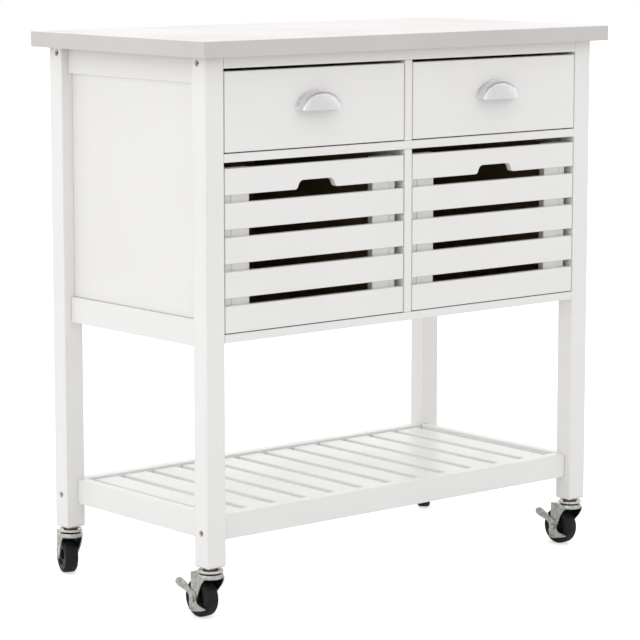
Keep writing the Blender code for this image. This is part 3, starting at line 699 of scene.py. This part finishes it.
def make_brushed():
    """Satin stainless sheet: fine lines along its length, faint smears and a soft gloss."""
    tree, start, end = new_effect(
        "brushed_sheet",
        [("Steel", "colour"), ("Smear", "colour"), ("Grain", "vector")],
        [("Colour", "colour"), ("Roughness", "value"), ("Height", "value")],
    )
    lines = stretched_noise(tree, start, (-400, 300), 1.0, 3.0, "Grain")
    smears = stretched_noise(tree, start, (-400, 0), 6.0, 4.0)
    touched = rescale(tree, smears.outputs["Fac"], 0.0, 0.7, (-200, 0), (0.4, 0.7))
    line = rescale(tree, lines.outputs["Fac"], 0.0, 0.3, (-200, 300))
    mask = add_up(tree, touched, line, (0, 150))
    colour = blend_colour(tree, mask, start.outputs["Steel"], start.outputs["Smear"], (400, 300))
    tree.links.new(colour, end.inputs["Colour"])
    tree.links.new(rescale(tree, smears.outputs["Fac"], 0.30, 0.38, (200, 0)), end.inputs["Roughness"])
    tree.links.new(lines.outputs["Fac"], end.inputs["Height"])
    return tree


steel_inputs = {
    "Steel": (0.66, 0.635, 0.62, 1.0),
    "Smear": (0.62, 0.585, 0.575, 1.0),
    "Grain": (5.0, 1400.0, 1400.0),
}
STAINLESS = new_finish("satin_stainless", make_brushed(), steel_inputs, (0.05, 0.0002), metallic=1.0)

low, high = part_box("worktop")
worktop = saw_block("steel_clad_worktop", low, high)
pick_edges(worktop, lambda a, b: abs(a.z - b.z) > 0.001)
bpy.ops.mesh.bevel(offset=SKIN_CORNER, segments=8, affect="EDGES")
close_up(worktop)
pick_faces(worktop, lambda face: face.normal.z < -0.9)
bpy.ops.mesh.inset(thickness=SKIN_RETURN)
bpy.ops.mesh.extrude_region_move(TRANSFORM_OT_translate={"value": (0, 0, SKIN_THICKNESS)})
close_up(worktop)
ease_edges(worktop, SKIN_FOLD, 4)
fit(worktop, "cart", "worktop_steel", STAINLESS, "worktop")
# The core underneath is dark bare wood, the same material that paints the shade inside the crates.
worktop.data.materials.append(dark_wood_and_shade("X"))
for face in worktop.data.polygons:
    inner = abs(face.center.x) < high.x - SKIN_RETURN and abs(face.center.y) < high.y - SKIN_RETURN
    if inner and face.normal.z < -0.9:
        face.material_index = 1


# Casters
# Four swivel casters. A threaded stem goes up into each leg and carries a bright pressed cup above a
# collar coloured dark as painted shade under the leg. Below it the zinc-plated fork turns on a king pin
# and ball race, where a black ring paints the shade in the groove. Inside the fork's far cheek a thin
# black plate paints the shade there. The wheel has a riveted axle at the back, and at the front a bolt
# with a side brake lever under its nut.
STEM_CENTRES = {
    (end, side): sum(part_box(f"caster_stem_{end}_{side}"), Vector()) / 2
    for end in ("front", "back")
    for side in ("left", "right")
}
FORK_TURNS = {
    ("front", "left"): 0.0,
    ("front", "right"): 0.0,
    ("back", "left"): math.radians(-19.0),
    ("back", "right"): math.radians(-44.0),
}
TRAIL = 0.0215
WHEEL_RADIUS = 0.0298
WHEEL_HALF = 0.01125
CUP_RADIUS = 0.0196
CHEEK_OUTSIDE = 0.0155
CHEEK_SHEET = 0.002
SHADE_PLATE_THICKNESS = 0.0007
AXLE_RADIUS = 0.003
AXLE_BOSS = 0.0065
LEVER_SHEET = 0.0018


def turn_on_lathe(name, profile, segments=64, along="Z"):
    """Spins a closed profile of (radius, height) points round an axis through the origin."""
    clear_bench()
    bpy.ops.mesh.primitive_circle_add(vertices=len(profile), radius=1)
    piece = bpy.context.active_object
    piece.name = piece.data.name = name
    for point, (radius, height) in zip(piece.data.vertices, profile):
        point.co = (radius, 0, height)
    bpy.ops.object.mode_set(mode="EDIT")
    bpy.ops.mesh.select_all(action="SELECT")
    bpy.ops.mesh.spin(steps=segments, angle=2 * math.pi, center=(0, 0, 0), axis=(0, 0, 1))
    bpy.ops.mesh.select_all(action="SELECT")
    bpy.ops.mesh.remove_doubles(threshold=2e-6)
    bpy.ops.mesh.dissolve_degenerate(threshold=1e-6)
    bpy.ops.mesh.select_all(action="SELECT")
    bpy.ops.mesh.delete_loose()
    bpy.ops.mesh.select_all(action="SELECT")
    bpy.ops.mesh.normals_make_consistent(inside=False)
    bpy.ops.object.mode_set(mode="OBJECT")
    if along == "X":
        piece.data.transform(Matrix.Rotation(math.pi / 2, 4, "Y"))
    take(piece)
    bpy.ops.object.shade_smooth_by_angle(angle=math.radians(35))
    return piece


def cut_plate(name, outline, start, thickness):
    """Cuts a plate to an outline of (y, z) points and gives it its thickness along X."""
    clear_bench()
    bpy.ops.mesh.primitive_circle_add(vertices=len(outline), radius=1)
    plate = bpy.context.active_object
    plate.name = plate.data.name = name
    for point, (y, z) in zip(plate.data.vertices, outline):
        point.co = (start, y, z)
    bpy.ops.object.mode_set(mode="EDIT")
    bpy.ops.mesh.select_all(action="SELECT")
    bpy.ops.mesh.edge_face_add()
    bpy.ops.mesh.extrude_region_move(TRANSFORM_OT_translate={"value": (thickness, 0, 0)})
    bpy.ops.mesh.select_all(action="SELECT")
    bpy.ops.mesh.normals_make_consistent(inside=False)
    bpy.ops.object.mode_set(mode="OBJECT")
    return plate


def weld_on(piece, *others):
    """Joins other solids to a piece as one."""
    for other in others:
        join = piece.modifiers.new("weld", "BOOLEAN")
        join.operation = "UNION"
        join.solver = "EXACT"
        join.object = other
    apply_all(piece)
    for other in others:
        bpy.data.objects.remove(other, do_unlink=True)


def copy_to(piece, name, matrix):
    """A copy of a piece with its own mesh, moved to its place."""
    other = piece.copy()
    other.data = piece.data.copy()
    other.name = other.data.name = name
    bpy.context.scene.collection.objects.link(other)
    other.data.transform(matrix)
    return other


NICKEL = plated("bright_nickel_cup", (0.74, 0.70, 0.65), (0.50, 0.45, 0.40), 0.16, 0.02)
ZINC = plated("zinc_plated_steel", (0.60, 0.62, 0.57), (0.26, 0.29, 0.265), 0.28, 0.12)
# Dark zinc for the collar under the leg: its darkness is painted shade.
SHADE_DARK_ZINC = plated("zinc_darkened_for_shade", (0.20, 0.20, 0.19), (0.09, 0.085, 0.08), 0.38, 0.12)


def make_stem():
    """The pressed upper cup with its rolled edge, the collar, coloured dark as painted shade under the leg,
    the threaded rod and the king pin.
    """
    cup = [
        (0.0050, 0.0752), (0.0050, 0.0758), (0.0168, 0.0758), (0.0172, 0.0774), (0.0180, 0.0778),
        (CUP_RADIUS - 0.0007, 0.0777), (CUP_RADIUS, 0.0770), (CUP_RADIUS, 0.0744),
        (CUP_RADIUS - 0.0006, 0.0736),
        (0.0182, 0.0734), (0.0172, 0.0738), (0.0168, 0.0752),
    ]
    cup = turn_on_lathe("cup", cup, 96)
    ease_edges(cup, 0.0003, 2)
    thread = [(0.0, 0.0762)]
    pitch, height = 0.0015, 0.0764
    while height < 0.109:
        thread += [(0.0044, height), (0.0050, height + pitch * 0.4), (0.0050, height + pitch * 0.6)]
        height += pitch
    thread += [(0.0040, 0.1100), (0.0, 0.1105)]
    rod = turn_on_lathe("rod", thread, 32)
    pin = [
        (0.0, 0.0653), (0.0060, 0.0653), (0.0068, 0.0660), (0.0068, 0.0694), (0.0040, 0.0694),
        (0.0040, 0.0775), (0.0, 0.0775),
    ]
    pin = turn_on_lathe("pin", pin, 32)
    collar = [(0.0050, 0.0759), (0.0112, 0.0759), (0.0118, 0.0765), (0.0118, 0.0811), (0.0050, 0.0811)]
    collar = turn_on_lathe("collar", collar, 48)
    return cup, collar, rod, pin


def make_groove_shade_ring():
    """A black ring in the groove between cup and fork: painted shade in that groove."""
    ring = [(0.0050, 0.0718), (0.0160, 0.0718), (0.0166, 0.0725), (0.0160, 0.0732), (0.0050, 0.0732)]
    return turn_on_lathe("race", ring, 64)


def make_fork(bolted):
    """The pressed fork: crown with its skirt, square back and two cheeks; a black plate of painted shade; the
    axle's parts.

    The right cheek reaches further forward than the left one, and the black plate inside it paints the shade
    there.
    """
    crown = [
        (0.0044, 0.0690), (0.0172, 0.0690), (0.0176, 0.0680), (0.0176, 0.0645), (0.0190, 0.0645),
        (CUP_RADIUS, 0.0652),
        (CUP_RADIUS, 0.0702), (CUP_RADIUS - 0.0004, 0.0710), (CUP_RADIUS - 0.0013, 0.0715), (0.0044, 0.0715),
    ]
    crown = turn_on_lathe("fork", crown, 96)
    back = 0.0290
    arc = [
        (TRAIL + AXLE_BOSS * math.sin(a), WHEEL_RADIUS - AXLE_BOSS * math.cos(a))
        for a in (math.radians(d) for d in range(-80, 81, 16))
    ]
    low_back = [*arc, (back - 0.0003, 0.0400), (back, 0.0460), (back, 0.0706)]
    narrow = [
        (-0.0100, 0.0706), (-0.0100, 0.0648), (-0.0052, 0.0636), (-0.0010, 0.0605), (0.0028, 0.0562),
        (0.0062, 0.0508), (0.0094, 0.0445), (0.0120, 0.0385), *low_back,
    ]
    wide = [
        (-0.0110, 0.0706), (-0.0150, 0.0648), (-0.0143, 0.0610), (-0.0120, 0.0565), (-0.0075, 0.0505),
        (-0.0010, 0.0440), (0.0060, 0.0368), *low_back,
    ]
    fold = [(0.0165, 0.0706), (0.0165, 0.0470), (0.0180, 0.0455), (back, 0.0470), (back, 0.0706)]
    bow_side = CHEEK_OUTSIDE - 0.0003
    parts = [
        saw_block("bow", (-bow_side, 0.0090, 0.0692), (bow_side, back - 0.0003, 0.0711)),
        cut_plate("cheek", narrow, -CHEEK_OUTSIDE, CHEEK_SHEET),
        cut_plate("fold", fold, -CHEEK_OUTSIDE - 0.0005, CHEEK_SHEET),
        cut_plate("cheek", wide, CHEEK_OUTSIDE, -CHEEK_SHEET),
    ]
    # A thin black plate inside the far cheek: painted shade on the cheek's inner face.
    shade_plate_outline = [(y + 0.0003, z) for y, z in wide[1:7]] + low_back[2:-1]
    shade_plate = cut_plate("shade_plate", shade_plate_outline, CHEEK_OUTSIDE - 0.0028, SHADE_PLATE_THICKNESS)
    weld_on(crown, *parts)
    ease_edges(crown, 0.0003, 2, 50)
    far = CHEEK_OUTSIDE + (LEVER_SHEET + 0.0046 if bolted else 0.0014)
    near = CHEEK_OUTSIDE + (LEVER_SHEET + 0.0012 if bolted else 0.0)
    head = [
        (0.0, CHEEK_OUTSIDE), (0.0050, CHEEK_OUTSIDE), (0.0047, CHEEK_OUTSIDE + 0.0009),
        (0.0030, CHEEK_OUTSIDE + 0.0016), (0.0, CHEEK_OUTSIDE + 0.0018),
    ]
    rivet = turn_on_lathe("rivet", head, 40, "X")
    shaft = [
        (0.0, -far), (AXLE_RADIUS - 0.0006, -far), (AXLE_RADIUS, -far + 0.0006),
        (AXLE_RADIUS, 0.0152), (0.0, 0.0152),
    ]
    shaft = turn_on_lathe("shaft", shaft, 32, "X")
    if bolted:
        nut = round_bit(0.0050, 0.0030, (-(near + 0.0015), 0, 0), "X", 6)
        ease_edges(nut, 0.0004, 2)
        washer = [(0.0031, -near), (0.0052, -near), (0.0052, -near + 0.0008), (0.0031, -near + 0.0008)]
        washer = turn_on_lathe("washer", washer, 40, "X")
        extras = [rivet, shaft, nut, washer]
    else:
        left = [(radius, -along) for radius, along in head]
        extras = [rivet, shaft, turn_on_lathe("rivet", left, 40, "X")]
    for extra in extras:
        extra.data.transform(Matrix.Translation((0, TRAIL, WHEEL_RADIUS)))
    return crown, shade_plate, extras


def make_moulded():
    """Moulded rubber or plastic: fine pitted skin, paler scuffs and uneven dust."""
    tree, start, end = new_effect(
        "moulded_skin",
        [("Skin", "colour"), ("Dust", "colour"), ("Grain", "vector"), ("Matt", "value")],
        [("Colour", "colour"), ("Roughness", "value"), ("Height", "value")],
    )
    cloud = stretched_noise(tree, start, (-400, 300), 70.0, 4.0)
    scuff = stretched_noise(tree, start, (-400, 0), 1.0, 3.0, "Grain")
    pits = stretched_noise(tree, start, (-400, -300), 1800.0, 2.0)
    dusty = rescale(tree, cloud.outputs["Fac"], 0.0, 0.6, (-200, 300), (0.45, 0.75))
    rubbed = rescale(tree, scuff.outputs["Fac"], 0.0, 0.5, (-200, 0), (0.5, 0.75))
    mask = add_up(tree, dusty, rubbed, (0, 150))
    colour = blend_colour(tree, mask, start.outputs["Skin"], start.outputs["Dust"], (400, 300))
    tree.links.new(colour, end.inputs["Colour"])
    sheen = rescale(tree, cloud.outputs["Fac"], -0.05, 0.08, (0, 0))
    tree.links.new(add_up(tree, sheen, start.outputs["Matt"], (300, 0)), end.inputs["Roughness"])
    tree.links.new(pits.outputs["Fac"], end.inputs["Height"])
    return tree


MOULDED = make_moulded()
tread_inputs = {
    "Skin": (0.0105, 0.0095, 0.0100, 1.0),
    "Dust": (0.018, 0.0165, 0.0165, 1.0),
    "Grain": (60.0, 900.0, 900.0),
    "Matt": 0.46,
}
TREAD = new_finish("black_tread", MOULDED, tread_inputs, (0.12, 0.0003))
hub_inputs = {
    "Skin": (0.006, 0.006, 0.006, 1.0),
    "Dust": (0.012, 0.012, 0.012, 1.0),
    "Grain": (300.0, 300.0, 300.0),
    "Matt": 0.34,
}
HUB = new_finish("black_hub", MOULDED, hub_inputs, (0.08, 0.0002))
for rubber in (TREAD, HUB):
    rubber.node_tree.nodes["Principled BSDF"].inputs["Specular IOR Level"].default_value = 0.20


def make_wheel():
    """A solid tread with rounded shoulders on a plastic hub with a rim, a dished web and a boss."""
    r, half = WHEEL_RADIUS, WHEEL_HALF
    shoulder = []
    for step in range(9):
        a = math.radians(90 * step / 8)
        shoulder.append((r - 0.0052 + 0.0052 * math.sin(a), half - 0.0048 + 0.0048 * math.cos(a)))
    tread = [(0.0206, half - 0.0004), (0.0212, half), *shoulder]
    tread += [(r, 0.0003), (r + 0.00005, 0.0)]
    tread += [(radius, -across) for radius, across in reversed(tread[:-1])]
    tread = turn_on_lathe("tread", tread, 128, "X")
    web = [
        (0.0034, half + 0.0011), (0.0070, half + 0.0011), (0.0078, half + 0.0004), (0.0082, half - 0.0030),
        (0.0175, half - 0.0034), (0.0184, half - 0.0006), (0.0190, half - 0.0001), (0.0205, half - 0.0003),
    ]
    web += [(radius, -across) for radius, across in reversed(web)]
    hub = turn_on_lathe("hub", web, 96, "X")
    return tread, hub


def make_lever():
    """The stamped brake lever: a tread pad bent out at the back and a foot with a turned-out lip."""
    outline = [
        (0.0310, 0.0460), (0.0360, 0.0500), (0.0400, 0.0530), (0.0450, 0.0562), (0.0490, 0.0582),
        (0.0530, 0.0588), (0.0565, 0.0578), (0.0590, 0.0556), (0.0603, 0.0530), (0.0605, 0.0505),
        (0.0592, 0.0480), (0.0560, 0.0455), (0.0500, 0.0430), (0.0410, 0.0398), (0.0350, 0.0368),
        (0.0318, 0.0330), (0.0312, 0.0280), (0.0320, 0.0220), (0.0310, 0.0172), (0.0285, 0.0138),
        (0.0240, 0.0118), (0.0180, 0.0113), (0.0100, 0.0128), (0.0020, 0.0144),
        (-0.0060, 0.0160), (-0.0075, 0.0172), (-0.0076, 0.0186), (-0.0040, 0.0195), (0.0040, 0.0206),
        (0.0100, 0.0226), (0.0130, 0.0250), (0.0140, 0.0300), (0.0150, 0.0350), (0.0180, 0.0400),
        (0.0240, 0.0430),
    ]
    plate = cut_plate("lever", outline, -CHEEK_OUTSIDE - 0.0003, -LEVER_SHEET)
    lip_outline = [(y, z) for y, z in outline[19:26]]
    lip_outline += [(y + 0.0002, z + 0.0014) for y, z in reversed(lip_outline)]
    lip = cut_plate("lip", lip_outline, -CHEEK_OUTSIDE - 0.0012, -0.0046)
    weld_on(plate, lip)
    drill(plate, round_bit(AXLE_RADIUS + 0.0003, 0.02, (-CHEEK_OUTSIDE, TRAIL, WHEEL_RADIUS), "X"))
    for point in plate.data.vertices:
        if point.co.z > 0.038 and point.co.y > 0.034:
            point.co.x -= (point.co.y - 0.034) * 0.16
    ease_edges(plate, 0.0004, 3, 40)
    return plate


stem_cup, stem_collar, stem_rod, king_pin = make_stem()
race = make_groove_shade_ring()
tread, hub = make_wheel()
lever = make_lever()
for (end, side), centre in STEM_CENTRES.items():
    corner = f"{end}_{side}"
    spot = Matrix.Translation((centre.x, centre.y, 0))
    turned = spot @ Matrix.Rotation(FORK_TURNS[end, side], 4, "Z")
    axle = turned @ Matrix.Translation((0, TRAIL, WHEEL_RADIUS))
    fit(copy_to(stem_cup, f"stem_cup_{corner}", spot), "cart", "zinc_plate", NICKEL, f"caster_stem_{corner}")
    # The collar is coloured dark to paint the shade under the leg.
    fit(copy_to(stem_collar, f"stem_collar_{corner}", spot), "cart", "zinc_plate", SHADE_DARK_ZINC)
    fit(copy_to(stem_rod, f"stem_thread_{corner}", spot), "cart", "zinc_plate", ZINC)
    fit(copy_to(king_pin, f"king_pin_{corner}", spot), "cart", "zinc_plate", ZINC)
    # The black ring paints the shade in the groove between cup and fork.
    fit(copy_to(race, f"groove_shade_ring_{corner}", spot), f"fork_{corner}", "black_rubber", HUB)
    crown, shade_plate, extras = make_fork(end == "front")
    crown.name = crown.data.name = f"fork_{corner}"
    crown.data.transform(turned)
    fit(crown, f"fork_{corner}", "zinc_plate", ZINC, f"caster_fork_{corner}")
    # The black plate paints the shade inside the far cheek.
    shade_plate.name = shade_plate.data.name = f"black_shade_plate_{corner}"
    shade_plate.data.transform(turned)
    fit(shade_plate, f"fork_{corner}", "black_rubber", HUB)
    for number, extra in enumerate(extras):
        extra.name = extra.data.name = f"axle_part_{corner}_{number + 1}"
        extra.data.transform(turned)
        fit(extra, f"fork_{corner}", "zinc_plate", ZINC)
    wheel = f"wheel_{corner}"
    fit(copy_to(tread, f"tread_{corner}", axle), wheel, "black_rubber", TREAD, f"caster_{wheel}")
    fit(copy_to(hub, f"hub_{corner}", axle), wheel, "black_rubber", HUB)
    if end == "front":
        brake = f"lever_{side}"
        fit(copy_to(lever, brake, turned), brake, "zinc_plate", ZINC, f"brake_{brake}")
for pattern in (stem_cup, stem_collar, stem_rod, king_pin, race, tread, hub, lever):
    bpy.data.objects.remove(pattern, do_unlink=True)


# Studio
# A plain pale floor inside a white surround, which is brighter behind and on the left, and a soft
# light from the left. The camera sees both plain white.
SURROUND = 0.865
FROM_LEFT = 0.30
FROM_BEHIND = 0.44
FROM_ABOVE = 0.02
FLOOR_GLOW = 0.07
FLOOR_SEEN_GLOW = 0.55
SOFTBOX = 3.0


def make_floor():
    clear_bench()
    bpy.ops.mesh.primitive_plane_add(size=30)
    floor = bpy.context.active_object
    floor.name = floor.data.name = "studio_floor"
    floor.data.transform(Matrix.Translation((0, 0, -0.0002)))
    material = bpy.data.materials.new("pale_floor")
    material.use_nodes = True
    shader = material.node_tree.nodes["Principled BSDF"]
    shader.inputs["Base Color"].default_value = (0.80, 0.80, 0.80, 1.0)
    shader.inputs["Roughness"].default_value = 0.9
    shader.inputs["Specular IOR Level"].default_value = 0.0
    shader.inputs["Emission Color"].default_value = (1.0, 1.0, 1.0, 1.0)
    seen = add_node(material.node_tree, "ShaderNodeLightPath", (-500, -200))
    camera_ray = seen.outputs["Is Camera Ray"]
    glow = rescale(material.node_tree, camera_ray, FLOOR_GLOW, FLOOR_SEEN_GLOW, (-250, -200), (0.0, 1.0))
    material.node_tree.links.new(glow, shader.inputs["Emission Strength"])
    floor.data.materials.append(material)


def soft_light(name, place, target, width, height, power, colour=(1.0, 1.0, 1.0)):
    lamp = bpy.data.lights.new(name, "AREA")
    lamp.shape = "RECTANGLE"
    lamp.size = width
    lamp.size_y = height
    lamp.energy = power
    lamp.color = colour
    holder = bpy.data.objects.new(name, lamp)
    bpy.context.scene.collection.objects.link(holder)
    holder.location = place
    holder.rotation_euler = (Vector(target) - Vector(place)).to_track_quat("-Z", "Y").to_euler()


def make_surround(base, lobes):
    """A pale surround that is brighter towards some sides. The camera sees it as plain white."""
    world = bpy.data.worlds.new("white_surround")
    bpy.context.scene.world = world
    world.use_nodes = True
    tree = world.node_tree
    where = add_node(tree, "ShaderNodeTexCoord", (-1200, 0))
    glow = None
    for number, (direction, strength) in enumerate(lobes):
        facing = add_node(tree, "ShaderNodeVectorMath", (-1000, -200 * number), operation="DOT_PRODUCT")
        tree.links.new(where.outputs["Generated"], facing.inputs[0])
        facing.inputs[1].default_value = Vector(direction).normalized()
        lobe = rescale(tree, facing.outputs["Value"], 0.0, strength, (-800, -200 * number), (0.0, 1.0))
        glow = lobe if glow is None else add_up(tree, glow, lobe, (-500, -200 * number))
    glow = add_up(tree, glow, base, (-300, 0))
    seen = add_node(tree, "ShaderNodeLightPath", (-500, 300))
    pick = add_node(tree, "ShaderNodeMix", (-100, 100), data_type="FLOAT")
    tree.links.new(seen.outputs["Is Camera Ray"], pick.inputs["Factor"])
    tree.links.new(glow, pick.inputs["A"])
    pick.inputs["B"].default_value = 1.0
    tree.links.new(pick.outputs["Result"], tree.nodes["Background"].inputs["Strength"])
    tree.nodes["Background"].inputs["Color"].default_value = (1.0, 1.0, 1.0, 1.0)


make_floor()
make_surround(
    SURROUND,
    [
        ((-1.0, 0.0, 0.15), FROM_LEFT),
        ((0.65, 0.75, 0.15), FROM_BEHIND),
        ((0.0, 0.0, 1.0), FROM_ABOVE),
    ],
)
soft_light("softbox_left", (-3.6, -1.2, 1.5), (0.0, 0.0, 0.5), 2.8, 2.4, SOFTBOX, (0.98, 0.99, 1.0))
bpy.context.scene.view_settings.view_transform = "Standard"

# Camera, a long lens at the front left, a little above the worktop.
CAMERA_PLACE = (-2.932, -3.464, 1.085)
CAMERA_HEADING = math.radians(40.12)
CAMERA_TILT = math.radians(8.54)
view = bpy.data.cameras.new("camera")
view.lens = 156.6
view.sensor_width = 36.0
view.clip_end = 60.0
camera = bpy.data.objects.new("camera", view)
bpy.context.scene.collection.objects.link(camera)
camera.location = CAMERA_PLACE
camera.rotation_euler = (math.pi / 2 - CAMERA_TILT, 0.0, -CAMERA_HEADING)
bpy.context.scene.camera = camera
